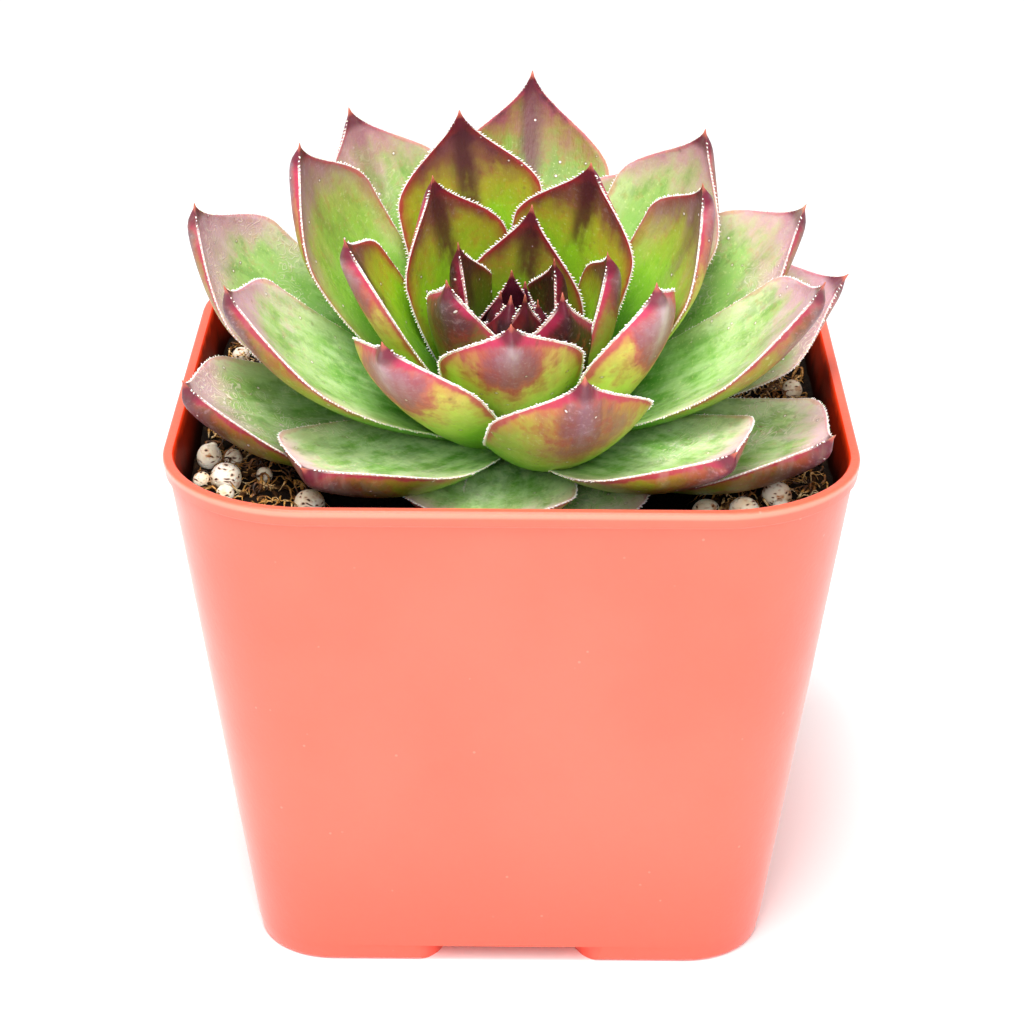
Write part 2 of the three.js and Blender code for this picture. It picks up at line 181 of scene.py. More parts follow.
class Graph:
    """A material and its nodes, built by short calls. An input may be a socket, a number or a colour."""

    def __init__(self, name):
        self.material = bpy.data.materials.new(name)
        self.material.use_nodes = True
        self.tree = self.material.node_tree
        self.shader = self.tree.nodes["Principled BSDF"]

    def put(self, socket, value):
        if isinstance(value, bpy.types.NodeSocket):
            self.tree.links.new(value, socket)
        elif socket.type == "RGBA":
            socket.default_value = (*value, 1)
        else:
            socket.default_value = value

    def node(self, kind, inputs, out, **settings):
        made = self.tree.nodes.new(kind)
        for key, value in settings.items():
            setattr(made, key, value)
        for key, value in inputs.items():
            self.put(made.inputs[key], value)
        return made.outputs[out]

    def math(self, operation, a, b=0.0):
        return self.node("ShaderNodeMath", {0: a, 1: b}, 0, operation=operation)

    def times(self, *values):
        product = values[0]
        for value in values[1:]:
            product = self.math("MULTIPLY", product, value)
        return product

    def plus(self, *values):
        total = values[0]
        for value in values[1:]:
            total = self.math("ADD", total, value)
        return total

    def line(self, x, start, slope):
        """start + slope * x"""
        return self.plus(start, self.times(x, slope))

    def fade(self, x, low, high):
        """0 where x is low and 1 where it is high, and smooth between. Low may be above high."""
        inputs = {"Value": x, "From Min": low, "From Max": high}
        return self.node("ShaderNodeMapRange", inputs, 0, interpolation_type="SMOOTHSTEP")

    def mix(self, share, a, b):
        """A colour from a to b."""
        return self.node("ShaderNodeMix", {0: share, 6: a, 7: b}, 2, data_type="RGBA")

    def ramp(self, x, *stops):
        made = self.tree.nodes.new("ShaderNodeValToRGB")
        elements = made.color_ramp.elements
        while len(elements) < len(stops):
            elements.new(0.5)
        for element, (at, colour) in zip(elements, stops):
            element.position = at
            element.color = (*colour, 1)
        self.put(made.inputs[0], x)
        return made.outputs[0]

    def shades(self, x, stops):
        """A ramp with stops of (place, screen colour)."""
        return self.ramp(x, *[(at, srgb(*colour)) for at, colour in stops])

    def position(self):
        """The place on the object in millimetres."""
        where = self.node("ShaderNodeTexCoord", {}, "Object")
        return self.stretch(where, (GRID,) * 3)

    def split(self, vector):
        """The three numbers of a vector or a colour."""
        made = self.tree.nodes.new("ShaderNodeSeparateXYZ")
        self.put(made.inputs[0], vector)
        return tuple(made.outputs)

    def height(self):
        """Millimetres over the ground."""
        return self.split(self.position())[2]

    def stretch(self, vector, by):
        return self.node("ShaderNodeVectorMath", {0: vector, 1: by}, 0, operation="MULTIPLY")

    def bend(self, vector, by, amount):
        """The vector pushed about by a coloured noise, for wavy lines."""
        wander = self.node("ShaderNodeTexNoise", {"Vector": vector, "Scale": by}, "Color")
        both_ways = self.node("ShaderNodeVectorMath", {0: wander, 1: (0.5,) * 3}, 0, operation="SUBTRACT")
        push = self.stretch(both_ways, (amount,) * 3)
        return self.node("ShaderNodeVectorMath", {0: vector, 1: push}, 0, operation="ADD")

    def noise(self, vector, scale, detail=2.0, rough=0.5):
        inputs = {"Vector": vector, "Scale": scale, "Detail": detail, "Roughness": rough}
        return self.node("ShaderNodeTexNoise", inputs, "Fac")

    def centred(self, vector, scale, detail, rough):
        """A noise about 0 instead of 0.5."""
        return self.plus(self.noise(vector, scale, detail, rough), -0.5)

    def cells(self, vector, scale, out="Distance"):
        return self.node("ShaderNodeTexVoronoi", {"Vector": vector, "Scale": scale}, out)

    def attribute(self, name):
        """The three numbers of a vector attribute, and the vector."""
        vector = self.node("ShaderNodeAttribute", {}, "Vector", attribute_name=name)
        return *self.split(vector), vector

    def first(self, colour):
        """The first number of a colour, as one random number for each cell."""
        return self.split(colour)[0]

    def mix_number(self, share, a, b):
        """A number from a to b."""
        return self.plus(a, self.times(share, self.plus(b, self.times(a, -1))))

    def finish(self, colour, roughness, bump=None, height=0.0001, strength=1.0, **constants):
        """Sets the shader. Height is in metres, and constants are named by the shader's sockets."""
        self.put(self.shader.inputs["Base Color"], colour)
        self.put(self.shader.inputs["Roughness"], roughness)
        if bump is not None:
            inputs = {"Height": bump, "Distance": height, "Strength": strength}
            self.put(self.shader.inputs["Normal"], self.node("ShaderNodeBump", inputs, 0))
        for key, value in constants.items():
            self.put(self.shader.inputs[key.replace("_", " ")], value)
        return self.material


def pot_material(inside=False):
    """Coral plastic. Inside: painted glow of bounced light, deep orange under the rim, and painted shade
    that darkens it to near black over the mix.
    """
    g = Graph("coral_plastic_inside" if inside else "coral_plastic")
    at = g.position()
    height = g.height()
    below_top = g.line(height, POT_HEIGHT, -1)
    cloud = g.noise(at, 0.05, 3)
    grain = g.noise(at, 2.2, 3, 0.6)
    if inside:
        wander = g.noise(g.stretch(at, (1.0, 1.0, 0.35)), 0.35, 3, 0.6)
        smeared = g.plus(below_top, g.times(wander, -2.4), 1.2)
        # Painted glow under the rim, then painted shade down to near black towards the mix
        colour = g.mix(g.fade(smeared, 0.2, 1.2), srgb(222, 54, 16), srgb(150, 30, 8))
        colour = g.mix(g.fade(smeared, 1.4, 4.6), colour, srgb(44, 9, 3))
        return g.finish(colour, g.line(cloud, 0.4, 0.2), grain, 0.00003, 0.5, IOR=1.12)
    colour = g.mix(g.fade(cloud, 0.35, 0.65), srgb(247, 103, 83), srgb(250, 108, 88))
    # Painted shade: the outer wall is darker towards the bottom, near the floor
    colour = g.mix(g.fade(height, 22, 0), colour, srgb(247, 96, 76))
    # Painted highlight: a pale band along the rim's outer edge
    painted_rim_highlight = g.times(g.fade(below_top, 0.85, 0.45), 0.55)
    colour = g.mix(painted_rim_highlight, colour, srgb(255, 170, 146))
    colour = g.mix(g.fade(below_top, 0.3, 0.02), colour, srgb(232, 92, 66))
    dust = g.times(g.fade(g.cells(at, 0.5), 0.09, 0.04), g.fade(g.noise(at, 0.3), 0.54, 0.62), 0.18)
    colour = g.mix(dust, colour, srgb(255, 200, 185))
    rough = g.line(g.noise(at, 0.4, 3), 0.3, 0.14)
    bump = g.plus(g.times(grain, 0.5), g.times(g.noise(at, 0.25, 2), 1.2))
    return g.finish(
        colour, rough, bump, 0.00006, 0.6, Specular_IOR_Level=0.35,
        Subsurface_Weight=0.12, Subsurface_Radius=(1.0, 0.15, 0.05), Subsurface_Scale=0.0014,
        Sheen_Weight=0.32, Sheen_Roughness=0.4,
    )


def mix_material(name, dark, mid, light):
    """Damp organic stuff: dark with lighter threads."""
    g = Graph(name)
    at = g.position()
    shade = g.noise(at, 0.9, 4, 0.65)
    colour = g.ramp(shade, (0.3, dark), (0.55, mid), (0.75, light))
    thread = g.noise(g.bend(at, 0.8, 2.0), 3.5, 3, 0.6)
    rough = g.line(thread, 0.6, 0.35)
    return g.finish(colour, rough, g.plus(shade, thread), 0.00025, 0.8, IOR=1.2)


FIBRE_SHADES = [(0.34, (30, 14, 5)), (0.45, (140, 84, 30)), (0.55, (214, 156, 76)), (0.68, (250, 226, 176))]
GRANULE_SHADES = [(0.3, (222, 192, 150)), (0.46, (244, 230, 204)), (0.6, (252, 244, 228))]


def fibre_material():
    g = Graph("coir_fibre")
    at = g.position()
    colour = g.shades(g.noise(at, 0.45), FIBRE_SHADES)
    streak = g.noise(g.bend(at, 1.0, 1.5), 6.0)
    colour = g.mix(g.fade(streak, 0.45, 0.7), colour, srgb(46, 25, 10))
    return g.finish(colour, g.line(streak, 0.32, 0.3), streak, 0.00005, 0.7)


def granule_material():
    """Creamy beads with brown stains, and short dark dashes in some of the cells."""
    g = Graph("pumice_granule")
    at = g.position()
    body = g.shades(g.noise(at, 0.35, 3), GRANULE_SHADES)
    skewed = g.stretch(g.bend(at, 0.6, 1.2), (1.0, 1.0, 2.4))
    dashes = g.cells(skewed, 1.5)
    rare = g.fade(g.first(g.cells(skewed, 1.5, "Color")), 0.3, 0.38)
    mark = g.times(g.fade(dashes, 0.32, 0.2), rare)
    cloudy = g.times(g.fade(g.noise(at, 0.9), 0.6, 0.68), 0.6)
    stain = g.plus(cloudy, g.times(g.fade(dashes, 0.55, 0.3), rare, 0.45))
    colour = g.mix(stain, body, srgb(184, 112, 52))
    colour = g.mix(mark, colour, srgb(74, 36, 14))
    pits = g.fade(g.cells(at, 2.2), 0.1, 0.3)
    bump = g.plus(pits, g.noise(at, 1.5, 3), g.times(mark, -0.8))
    return g.finish(colour, 0.7, bump, 0.0001, 0.7, Subsurface_Weight=0.1, Subsurface_Scale=0.0006)


# The colours along a blade from foot to tip, above and below, for leaves of an age and for old leaves
# at the back of the rosette: (share of the length, screen colour)
# The heart's tops: near black at the foot, painted shade deep in the rosette, over their own wine red
TOP_HEART = [
    (0.2, (10, 13, 5)), (0.45, (38, 42, 8)), (0.6, (52, 32, 10)), (0.72, (50, 15, 16)), (1.0, (40, 11, 17)),
]
# The young leaves' tops: the dark green at the foot is painted shade where the blades crowd together
TOP_INNER = [
    (0.12, (44, 92, 16)), (0.34, (88, 154, 24)), (0.6, (142, 190, 32)), (0.73, (166, 160, 42)),
    (0.82, (132, 86, 56)), (0.91, (114, 56, 68)), (1.0, (86, 36, 48)),
]
TOP_BACK = [
    (0.2, (70, 128, 34)), (0.5, (98, 142, 38)), (0.74, (122, 146, 46)), (0.83, (140, 112, 58)),
    (0.91, (138, 70, 76)), (1.0, (78, 28, 46)),
]
TOP_OUTER = [
    (0.2, (90, 152, 56)), (0.5, (130, 182, 86)), (0.7, (158, 192, 112)), (0.8, (190, 184, 144)),
    (0.88, (202, 154, 160)), (1.0, (138, 76, 100)),
]
# The heart's undersides: mostly painted shade deep in the rosette, with their own wine-red tinge
LOW_HEART = [
    (0.3, (30, 18, 13)), (0.5, (42, 20, 19)), (0.7, (56, 24, 31)), (1.0, (60, 28, 38)),
]
LOW_INNER = [
    (0.35, (164, 224, 62)), (0.6, (220, 242, 112)), (0.71, (230, 212, 110)), (0.77, (212, 120, 108)),
    (0.83, (174, 104, 120)), (0.93, (186, 146, 158)), (1.0, (206, 182, 188)),
]
LOW_OUTER = [
    (0.4, (104, 166, 34)), (0.62, (146, 178, 40)), (0.74, (156, 136, 44)), (0.83, (122, 78, 46)),
    (0.91, (118, 74, 80)), (1.0, (94, 40, 62)),
]


class Blade:
    """What the leaf material reads at a place on a blade, and what its layers of colour share."""

    def __init__(self, g):
        # make_blades says what the three attributes hold
        self.across, _, _, self.grain = g.attribute("grain")
        self.age, self.edge, self.side, _ = g.attribute("form")
        self.s, self.tip, self.backness, _ = g.attribute("reach")
        self.broad = g.centred(self.grain, 0.16, 3, 0.55)
        self.blotch = g.centred(self.grain, 0.55, 4, 0.6)
        self.drips = g.centred(g.stretch(self.grain, (1.0, 0.22, 1.0)), 0.8, 3, 0.6)
        self.below = g.fade(self.side, 1, 0)
        # Leaves of the heart, by their tops and undersides, the outer leaves, and those at the back
        self.heart = g.fade(self.age, 0.31, 0.16)
        self.low_heart = g.fade(self.age, 0.38, 0.24)
        self.outer = g.fade(self.age, 0.46, 0.6)
        self.at_back = g.fade(self.backness, 0.86, 0.97)
        # Old leaves but for those at the back: they have hardly a dark midrib, and are scuffed
        self.plain = g.times(g.fade(self.age, 0.43, 0.55), g.line(self.at_back, 1, -1))

        # Where the colours lie along the blade. They run down further at the margins on top,
        # and down the middle below, where aside is 0 on the midrib and 1 at the margin.
        off_rib = g.math("ABSOLUTE", self.across)
        aside = g.math("DIVIDE", off_rib, g.plus(off_rib, self.edge, 0.01))
        ragged = g.plus(g.times(self.broad, 0.28), g.times(self.blotch, 0.18), g.times(self.drips, 0.2))
        top_ragged = g.times(ragged, g.line(self.outer, 0.65, 0.35))
        self.up = g.plus(
            self.s, g.times(aside, aside, 0.1), top_ragged, -0.045, g.times(self.outer, 0.015))
        self.down = g.plus(self.s, g.times(aside, -0.2), g.times(ragged, 0.85), 0.09)
        self.zone = g.mix_number(self.side, self.down, self.up)


def paint_zones(g, b):
    """The green foot, the turning middle and the red or mauve tip, with a pale hem on old leaves."""
    hem_reach = g.fade(g.plus(b.edge, g.times(b.blotch, 2.4)), 2.8, 0.4)
    hem = g.times(hem_reach, g.fade(b.s, 0.3, 0.6), g.line(b.backness, 0.5, -0.2))
    near_tip = g.fade(g.plus(b.s, b.broad), 0.68, 0.88)
    hem_colour = g.mix(near_tip, srgb(232, 228, 196), srgb(204, 148, 158))
    hemmed = g.mix(hem, g.shades(b.up, TOP_OUTER), hem_colour)
    old_top = g.mix(b.at_back, hemmed, g.shades(b.up, TOP_BACK))
    young_top = g.mix(b.heart, g.shades(b.up, TOP_INNER), g.shades(b.up, TOP_HEART))
    young_low = g.mix(b.low_heart, g.shades(b.down, LOW_INNER), g.shades(b.down, LOW_HEART))
    top = g.mix(b.outer, young_top, old_top)
    low = g.mix(b.outer, young_low, g.shades(b.down, LOW_OUTER))
    return g.mix(b.side, low, top)


def paint_front_light_and_sheen(g, b, colour):
    """Painted light: the lowest leaves at the front are painted paler, and towards the tip pearly, partly
    their own pale mauve and partly painted sheen.
    """
    mottled = g.fade(g.plus(b.drips, b.blotch), -0.3, 0.25)
    # Painted light: the front leaves are made paler, as if more light fell on them
    front = g.times(g.fade(b.backness, 0.55, 0.12), b.outer, b.side)
    painted_front_light = g.times(front, mottled, g.fade(b.up, 0.9, 0.7), 0.64)
    colour = g.mix(painted_front_light, colour, srgb(220, 242, 190))
    # Pearly tips: their own pale mauve, with painted sheen
    not_back = g.fade(b.backness, 0.8, 0.4)
    streaky = g.fade(b.drips, -0.32, 0.12)
    pearl_and_sheen = g.times(not_back, b.outer, b.side, g.fade(b.up, 0.66, 0.88), streaky, 0.78)
    pearl_and_sheen_colour = g.mix(g.fade(b.backness, 0.3, 0.14), srgb(208, 168, 180), srgb(242, 214, 212))
    return g.mix(pearl_and_sheen, colour, pearl_and_sheen_colour)


def paint_patches(g, b, colour):
    """Deeper green patches, and pale freckles in the green."""
    green = g.fade(b.zone, 0.82, 0.7)
    patch = g.fade(g.noise(g.stretch(b.grain, (1.0, 0.5, 1.0)), 0.5, 4, 0.7), 0.47, 0.62)
    deep = g.times(patch, green, g.line(g.times(b.side, b.outer), 0.12, 0.22))
    colour = g.mix(deep, colour, srgb(66, 116, 30))
    freckle = g.times(g.fade(g.noise(b.grain, 2.6), 0.6, 0.7), green, g.line(b.outer, 0.14, 0.2))
    return g.mix(freckle, colour, srgb(216, 226, 160))


def paint_flecks(g, b, colour):
    """Rusty flecks where the green turns to red, and pale dust on the red that partly stands in as painted
    sheen.
    """
    flecks = g.fade(g.noise(b.grain, 1.1, 3, 0.65), 0.52, 0.66)
    turning = g.times(g.fade(b.up, 0.6, 0.7), g.fade(b.up, 0.86, 0.76), flecks, 0.16)
    colour = g.mix(turning, colour, srgb(184, 72, 46))
    flecks = g.fade(g.noise(b.grain, 0.9, 3, 0.6), 0.48, 0.6)
    rusty = g.times(g.fade(b.down, 0.62, 0.72), g.fade(b.down, 0.9, 0.78), flecks, b.below, 0.32)
    colour = g.mix(rusty, colour, srgb(176, 54, 58))
    # Dust on the red zone, partly painted sheen
    dust = g.times(g.fade(g.noise(b.grain, 2.4, 4, 0.7), 0.5, 0.72), g.fade(b.zone, 0.72, 0.9), 0.3)
    dull = g.plus(1, g.times(b.heart, -0.8), g.times(b.at_back, -0.9))
    return g.mix(g.times(dust, dull), colour, srgb(222, 196, 204))


def paint_midrib(g, b, colour):
    """A dark line down the midrib from the tip."""
    wander = g.math("ABSOLUTE", g.plus(b.across, b.blotch))
    dark_to = g.plus(b.s, g.times(b.drips, 0.35), g.times(b.blotch, 0.2))
    near = g.fade(wander, 1.8, 0.3)
    line = g.times(near, g.fade(dark_to, 0.58, 0.78), b.side, g.line(b.plain, 0.85, -0.68))
    return g.mix(line, colour, g.mix(b.outer, srgb(66, 12, 28), srgb(98, 32, 56)))


def paint_margin(g, b, colour):
    """Reddened below and on young leaves, with a crimson band along its outer half and a white edge."""
    ragged_edge = g.fade(g.plus(b.edge, g.times(b.blotch, 4.5)), 1.5, 0.2)
    blush = g.times(ragged_edge, g.fade(b.s, 0.42, 0.62), b.below, 0.36)
    colour = g.mix(blush, colour, g.mix(b.low_heart, srgb(200, 84, 70), srgb(96, 24, 34)))
    ragged_edge = g.fade(g.plus(b.edge, g.times(b.blotch, 2.6)), 1.5, 0.3)
    middle_aged = g.times(g.fade(b.outer, 1, 0), b.side, g.fade(b.heart, 1, 0))
    flushed = g.times(ragged_edge, g.fade(b.s, 0.36, 0.6), middle_aged, 0.5)
    colour = g.mix(flushed, colour, srgb(156, 44, 42))

    reddened = g.plus(b.edge, g.times(b.blotch, 1.2), b.broad)
    wide = g.plus(0.5, g.times(b.side, -0.05), g.times(g.fade(b.age, 0.6, 0.3), 0.15))
    outer_half = g.fade(g.plus(b.s, g.times(b.broad, 0.5)), 0.46, 0.66)
    band = g.times(g.fade(reddened, wide, 0.12), outer_half, g.line(g.times(b.outer, b.side), 0.8, -0.45))
    ripe = g.mix(b.side, srgb(196, 44, 92), srgb(164, 34, 48))
    young_band = g.mix(b.heart, ripe, srgb(108, 10, 32))
    old_band = g.mix(b.side, srgb(176, 30, 76), srgb(206, 66, 96))
    colour = g.mix(band, colour, g.mix(b.outer, young_band, old_band))

    beads = g.fade(g.noise(b.grain, 1.9, 1), 0.36, 0.5)
    at_edge = g.fade(b.edge, g.line(b.outer, 0.085, -0.04), 0.02)
    between = g.times(g.fade(b.s, 0.1, 0.3), g.fade(b.tip, 1.2, 2.2))
    rim = g.times(at_edge, between, g.line(beads, 0.35, 0.65), g.line(b.outer, 1, -0.35))
    return g.mix(rim, colour, g.mix(b.heart, srgb(255, 244, 238), srgb(214, 150, 154)))


def paint_spine(g, b, colour):
    """Dark at its foot, and coral at its point."""
    colour = g.mix(g.times(g.fade(b.tip, 2.6, 1.6), 0.8), colour, srgb(92, 26, 44))
    return g.mix(g.times(g.fade(b.tip, 1.0, 0.5), 0.7), colour, srgb(206, 108, 92))


def paint_pimples(g, b, colour):
    """White pimples in brown rings. Returns the colour and where the pimples are."""
    some = g.fade(g.first(g.cells(b.grain, 0.75, "Color")), 0.6, 0.66)
    off = g.cells(b.grain, 0.75)
    beyond_foot = g.fade(b.s, 0.35, 0.6)
    dots = g.times(g.fade(off, 0.12, 0.06), some, beyond_foot)
    rings = g.times(g.fade(off, 0.22, 0.13), some, beyond_foot, 0.35)
    colour = g.mix(rings, colour, srgb(110, 60, 56))
    return g.mix(g.times(dots, 0.9), colour, srgb(252, 244, 240)), dots


def paint_wear(g, b, colour):
    """On old blades, curly pale scuffs with brown dashes, and streaks of wax. Returns the colour,
    the scuffs and the wax."""
    swirl = g.noise(g.bend(b.grain, 0.35, 1.6), 0.42, 2, 0.45)
    curls = g.math("ABSOLUTE", g.math("SINE", g.times(swirl, 42)))
    along = g.times(g.fade(b.s, 0.38, 0.6), g.fade(b.s, 0.97, 0.86))
    worn = g.times(g.fade(b.broad, -0.06, 0.08), g.fade(b.age, 0.52, 0.88), b.plain, along, b.side)
    scuffs = g.times(g.fade(curls, 0.5, 0.12), worn, 0.7)
    colour = g.mix(scuffs, colour, srgb(240, 228, 210))
    flakes = g.noise(g.stretch(b.grain, (1.0, 0.4, 1.0)), 1.6, 3, 0.7)
    colour = g.mix(g.times(g.fade(flakes, 0.62, 0.7), worn, 0.7), colour, srgb(140, 96, 66))
    streaks = g.fade(g.plus(b.drips, g.times(b.broad, 0.6)), -0.06, 0.3)
    old = g.fade(b.age, 0.36, 0.7)
    wax = g.times(streaks, old, g.fade(b.s, 0.2, 0.45), g.line(b.at_back, 0.22, -0.18))
    return g.mix(wax, colour, srgb(204, 216, 186)), scuffs, wax


def leaf_material():
    g = Graph("houseleek_leaf")
    b = Blade(g)
    colour = paint_zones(g, b)
    for paint in (paint_front_light_and_sheen, paint_patches, paint_flecks, paint_midrib, paint_margin, paint_spine):
        colour = paint(g, b, colour)
    colour, dots = paint_pimples(g, b, colour)
    colour, scuffs, wax = paint_wear(g, b, colour)
    fine = g.noise(g.stretch(b.grain, (1.0, 0.35, 1.0)), 5.0)
    swells = g.noise(g.stretch(b.grain, (1.0, 0.5, 1.0)), 0.7, 3, 0.6)
    rough = g.plus(0.36, g.times(fine, 0.14), g.times(wax, 0.35), g.times(scuffs, 0.3))
    bump = g.plus(
        b.drips, g.times(swells, 1.2), g.times(fine, 0.3), g.times(dots, 0.7), g.times(scuffs, 0.7))
    return g.finish(
        colour, rough, bump, 0.0002, 0.5,
        Subsurface_Weight=0.2, Subsurface_Radius=(1.0, 1.0, 0.2), Subsurface_Scale=0.0008,
        Specular_IOR_Level=0.4,
    )


def hair_material():
    g = Graph("leaf_cilia")
    at = g.position()
    colour = g.mix(g.noise(at, 0.5, 2), srgb(255, 250, 246), srgb(246, 220, 210))
    rough = g.line(g.noise(at, 3), 0.3, 0.2)
    return g.finish(colour, rough, Subsurface_Weight=0.3, Subsurface_Scale=0.0003)


# ---- meshes


class Shape:
    """Points, faces and point attributes that grow into one mesh."""

    def __init__(self):
        self.points, self.faces, self.tags = [], [], {}
        self.count = 0

    def add(self, points, faces, **tags):
        points = np.asarray(points, float)
        self.points.append(points)
        self.faces.extend([[i + self.count for i in face] for face in faces])
        for key, value in tags.items():
            self.tags.setdefault(key, []).append(np.broadcast_to(value, points.shape))
        self.count += len(points)

    def piece(self, name, material, sharp=None):
        mesh = bpy.data.meshes.new(name)
        mesh.from_pydata((np.concatenate(self.points) * MM).tolist(), [], self.faces)
        for key, values in self.tags.items():
            attribute = mesh.attributes.new(key, "FLOAT_VECTOR", "POINT")
            attribute.data.foreach_set("vector", np.concatenate(values).astype(np.float32).ravel())
        mesh.materials.append(material)
        made = bpy.data.objects.new(name, mesh)
        bpy.context.scene.collection.objects.link(made)
        return shade(made, sharp)


def shade(thing, sharp=None):
    """Smooth shading but for the edges sharper than so many degrees."""
    thing.data.shade_smooth()
    if sharp:
        thing.data.set_sharp_from_angle(angle=math.radians(sharp))
    return thing


def loft_faces(rings, n):
    """Quads between rings of n points, anticlockwise from above, lowest first, and the two caps."""
    faces = []
    for i in range(rings - 1):
        for j in range(n):
            a, b = i * n + j, i * n + (j + 1) % n
            faces.append((a, b, b + n, a + n))
    faces.append(tuple(range(n - 1, -1, -1)))
    faces.append(tuple((rings - 1) * n + j for j in range(n)))
    return faces


def rounded_square(half, corner, z):
    """The outline of a square with round corners at height z, anticlockwise from the +X side's corner."""
    sides, steps = range(4), range(CORNER_STEPS + 1)
    turns = [math.radians(90 * side + 90 * i / CORNER_STEPS) for side in sides for i in steps]
    middles = [math.radians(90 * side + 45) for side in sides for _ in steps]
    flat = half - corner
    return np.array([
        (math.copysign(flat, math.cos(m)) + corner * math.cos(t),
         math.copysign(flat, math.sin(m)) + corner * math.sin(t), z)
        for t, m in zip(turns, middles)
    ])


def wall_half(z):
    """Half the width over the pot's outer wall at height z."""
    return lerp(BASE_HALF, RIM_HALF - LIP_OUT, z / POT_HEIGHT)


def wall_corner(z):
    """The outer wall's corner radius at height z."""
    return lerp(BASE_CORNER, RIM_CORNER, z / POT_HEIGHT)


def wall_ring(z, inset, out=0.0):
    """The pot's outer wall at height z, moved in by inset."""
    return rounded_square(wall_half(z) + out - inset, wall_corner(z) + out - inset, z)


def bent(angle_from, angle_to, steps):
    """Cosines and sines of a quarter's steps, for rounded edges."""
    return [(math.cos(a), math.sin(a)) for a in np.radians(np.linspace(angle_from, angle_to, steps))]


def solid_of(rings):
    shape = Shape()
    shape.add(np.concatenate(rings), loft_faces(len(rings), len(rings[0])))
    return shape


def cut(body, tool, operation):
    """Joins tool to body, or takes it away, and removes tool."""
    change = body.modifiers.new("cut", "BOOLEAN")
    change.object = tool
    change.operation = operation
    change.solver = "EXACT"
    bpy.context.view_layer.update()
    made = bpy.data.meshes.new_from_object(body.evaluated_get(bpy.context.evaluated_depsgraph_get()))
    body.modifiers.clear()
    body.data = made
    bpy.data.objects.remove(tool)


def shell_rings():
    """The pot's shell from its underside up the outside, over the rim and down to the floor."""
    top = POT_HEIGHT
    band = top - LIP_TALL
    inner_floor = FOOT_TALL + FLOOR
    # The outer wall, and the step out to the rim band
    rings = [wall_ring(FOOT_TALL, 0)]
    rings += [wall_ring(z, 0) for z in np.linspace(6, band - LIP_OUT, WALL_RINGS)]
    rings += [wall_ring(band + LIP_OUT * (s - 1), 0, LIP_OUT * (1 - c)) for c, s in bent(10, 90, 5)]
    # The rim's two edges
    rings += [wall_ring(top + EDGE * (s - 1), EDGE * (1 - c), LIP_OUT) for c, s in bent(0, 90, 6)]
    rings += [wall_ring(top + EDGE * (s - 1), WALL - EDGE * (1 - c)) for c, s in bent(90, 0, 6)]
    # The inner wall, and the bevel down to the floor
    rings += [wall_ring(z, WALL) for z in np.linspace(band, inner_floor + FLOOR_BEVEL["up"], WALL_RINGS)]
    rings += [wall_ring(inner_floor, WALL + FLOOR_BEVEL["out"])]
    return rings


def add_feet(pot, material):
    """Joins four feet on: the wall's outline carried down, cut by a block with round corners at each."""
    rings = [wall_ring(FOOT_EDGE * (1 - s), FOOT_IN + FOOT_EDGE * (1 - c)) for c, s in bent(90, 0, 5)]
    rings += [wall_ring(FOOT_TALL + 0.2, FOOT_IN)]
    pad = (BASE_HALF + FOOT_PAST - FOOT_GAP / 2) / 2
    for sx in (-1, 1):
        for sy in (-1, 1):
            shift = np.array([sx, sy, 0]) * (FOOT_GAP / 2 + pad)
            outlines = [rounded_square(pad, FOOT_END, z) + shift for z in (-1, FOOT_TALL + 0.15)]
            foot = solid_of(rings).piece("foot", material)
            cut(foot, solid_of(outlines).piece("block", material), "INTERSECT")
            cut(pot, foot, "UNION")


def drill_drains(pot, material):
    """Takes the middle drain hole and the four round it out of the floor."""
    turns = np.linspace(0, 2 * math.pi, DRAIN_POINTS, endpoint=False)
    for x, y in ((0, 0), (DRAIN_AT, 0), (0, DRAIN_AT), (-DRAIN_AT, 0), (0, -DRAIN_AT)):
        circle = np.stack([x + DRAIN_R * np.cos(turns), y + DRAIN_R * np.sin(turns), 0 * turns], 1)
        drain = solid_of([circle + (0, 0, z) for z in (-1, 5)])
        cut(pot, drain.piece("drain", material), "DIFFERENCE")


def line_inside(pot):
    """Gives the faces of the inner wall and floor their own material."""
    pot.data.materials.append(pot_material(inside=True))
    for face in pot.data.polygons:
        x, y, z = (c / MM for c in face.center)
        corner = wall_corner(z)
        over = np.maximum(np.abs((x, y)) - (wall_half(z) - corner), 0)
        depth = corner - math.hypot(*over) if over.any() else RIM_CORNER
        if depth > 0.8 * WALL and z > FOOT_TALL + FLOOR / 2:
            face.material_index = 1


def make_pot(material):
    pot = solid_of(shell_rings()).piece("pot_shell", material)
    add_feet(pot, material)
    drill_drains(pot, material)
    line_inside(pot)
    return shade(pot, POT_SHARP)


def off_dish(x, y):
    """How far a place is from the hollow's middle: 1 on its edge."""
    return np.hypot((x - DISH["x"]) / DISH["rx"], (y - DISH["y"]) / DISH["ry"])


def soil_height(x, y):
    """The mix's coarse top: lumps, with a hollow that the rosette's underside lies in."""
    lumps = np.sin(0.9 * x + 1.3 * np.sin(0.5 * y)) * np.sin(0.8 * y + np.cos(0.6 * x))
    lumps = lumps + 0.5 * np.sin(2.1 * x + 0.7 * y) * np.cos(1.7 * y - 0.9 * x)
    top = SOIL_TOP + LUMP * lumps / 1.5
    return lerp(DISH["floor"], top, smoothstep(off_dish(x, y), 1 - DISH["edge"], 1))


def crumb(x, y):
    """Fine crumbs on top of the coarse height, in millimetres."""
    at = Vector((x, y, 3.7))
    return 0.34 * noise.fractal(at * 0.9, 1.0, 2.0, 4) + 0.3 * (0.5 - noise.cell_vector(at * 0.55)[0])


def along_line(line):
    """The way run from a line's start to each of its points."""
    return np.concatenate([[0], np.cumsum(np.linalg.norm(np.diff(line, axis=0), axis=1))])


